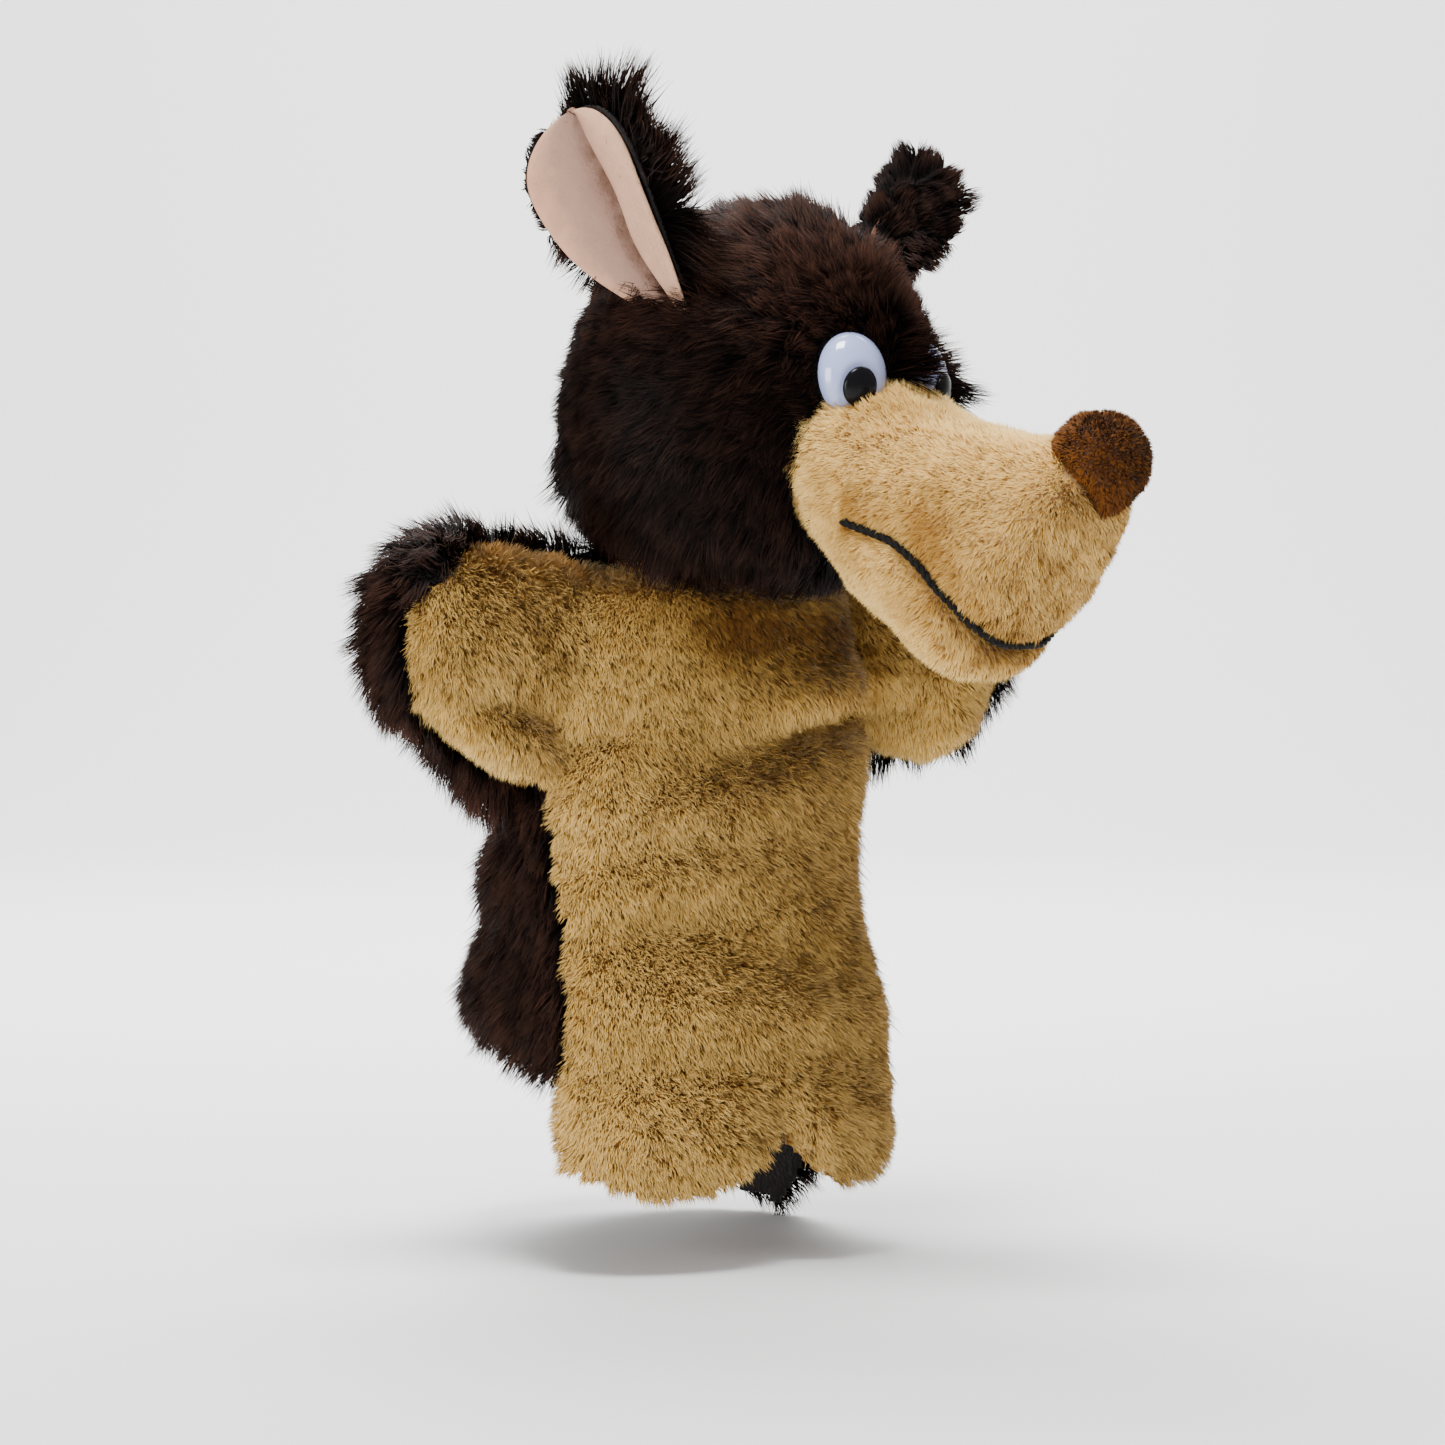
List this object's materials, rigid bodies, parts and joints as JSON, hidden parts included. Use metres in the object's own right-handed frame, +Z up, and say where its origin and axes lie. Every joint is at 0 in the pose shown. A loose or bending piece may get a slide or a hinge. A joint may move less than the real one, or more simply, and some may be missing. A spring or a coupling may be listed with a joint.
{
  "type": "animal hand puppet",
  "caption": "Plush wolf hand puppet: a glove with two arms and foot flaps, and a stuffed head with a long muzzle, upright ears and domed eyes, worked by a hand inside.",
  "frame": {"origin": "in the middle of the glove's mouth, on the puppet's middle plane, at the height of the front hem where the foot flaps begin", "axes": "+Z up from the mouth to the head, -Y the way the puppet's front faces, +X towards the puppet's own left arm"},
  "size_m": [0.1759, 0.1907, 0.2677],
  "materials": {
    "brown_plush": "long-pile plush",
    "tan_plush": "short-pile plush",
    "cream_plush": "short-pile plush",
    "nose_plush": "velvet-like plush",
    "pink_felt": "felt",
    "black_thread": "thread",
    "white_plastic": "polished",
    "black_plastic": "polished",
    "washer_plastic": "moulded",
    "lining_cloth": "woven",
    "filling": "polyester fibre"
  },
  "bodies": {
    "torso": {"front_panel": "tan_plush", "back_panel": "brown_plush"},
    "neck": {"neck_collar": "lining_cloth"},
    "head": {"head_finger_tube": "lining_cloth", "head_side_right": "brown_plush", "head_gusset": "brown_plush", "head_side_left": "brown_plush", "head_filling": "filling", "muzzle_right": "cream_plush", "muzzle_left": "cream_plush", "jaw": "cream_plush", "muzzle_filling": "filling", "nose": "nose_plush", "mouth_thread": "black_thread", "right_eye": "white_plastic", "right_pupil": "black_plastic", "right_eye_washer": "washer_plastic", "left_eye": "white_plastic", "left_pupil": "black_plastic", "left_eye_washer": "washer_plastic"},
    "right_ear": {"right_ear_back": "brown_plush", "right_ear_lining": "pink_felt"},
    "left_ear": {"left_ear_back": "brown_plush", "left_ear_lining": "pink_felt"},
    "right_upper_arm": {"right_sleeve_front": "tan_plush", "right_sleeve_back": "brown_plush"},
    "right_paw": {"right_paw_front": "tan_plush", "right_paw_back": "brown_plush"},
    "left_upper_arm": {"left_sleeve_front": "tan_plush", "left_sleeve_back": "brown_plush"},
    "left_paw": {"left_paw_front": "tan_plush", "left_paw_back": "brown_plush"},
    "right_foot": {"right_foot_flap": "tan_plush"},
    "left_foot": {"left_foot_flap": "tan_plush"}
  },
  "joints": [
    {"name": "neck_nod", "type": "hinge", "parent": "torso", "child": "neck", "pos_m": [0, -0.014, 0.126], "axis": [1, 0, 0], "range_deg": [-28, 8]},
    {"name": "head_turn", "type": "hinge", "parent": "neck", "child": "head", "pos_m": [0, -0.014, 0.126], "axis": [0, 0, 1], "range_deg": [-50, 20]},
    {"name": "right_ear_bend", "type": "hinge", "parent": "head", "child": "right_ear", "pos_m": [-0.03166, -0.04062, 0.19224], "axis": [0.1073, -0.9824, 0.1532], "range_deg": [-12, 12], "stiffness_Nm_per_rad": 0.01},
    {"name": "left_ear_bend", "type": "hinge", "parent": "head", "child": "left_ear", "pos_m": [0.04074, -0.0173, 0.19466], "axis": [-0.3414, 0.9295, 0.1394], "range_deg": [-12, 12], "stiffness_Nm_per_rad": 0.01},
    {"name": "right_shoulder_raise", "type": "hinge", "parent": "torso", "child": "right_upper_arm", "pos_m": [-0.0445, -0.01, 0.108], "axis": [0, 1, 0], "range_deg": [-30, 20]},
    {"name": "right_paw_fold", "type": "hinge", "parent": "right_upper_arm", "child": "right_paw", "pos_m": [-0.0544, -0.022, 0.10939], "axis": [0.1392, 0, 0.9903], "range_deg": [-5, 60]},
    {"name": "left_shoulder_raise", "type": "hinge", "parent": "torso", "child": "left_upper_arm", "pos_m": [0.0445, -0.01, 0.108], "axis": [0, -1, 0], "range_deg": [-4, 30]},
    {"name": "left_paw_fold", "type": "hinge", "parent": "left_upper_arm", "child": "left_paw", "pos_m": [0.0539, -0.022, 0.10458], "axis": [-0.342, 0, -0.9397], "range_deg": [-24, 30]},
    {"name": "right_foot_swing", "type": "hinge", "parent": "torso", "child": "right_foot", "pos_m": [-0.02327, -0.03817, 0], "axis": [-0.9468, 0.3219, 0], "range_deg": [-5, 50]},
    {"name": "left_foot_swing", "type": "hinge", "parent": "torso", "child": "left_foot", "pos_m": [0.02729, -0.03715, 0], "axis": [-0.9269, -0.3752, 0], "range_deg": [0, 50]}
  ]
}
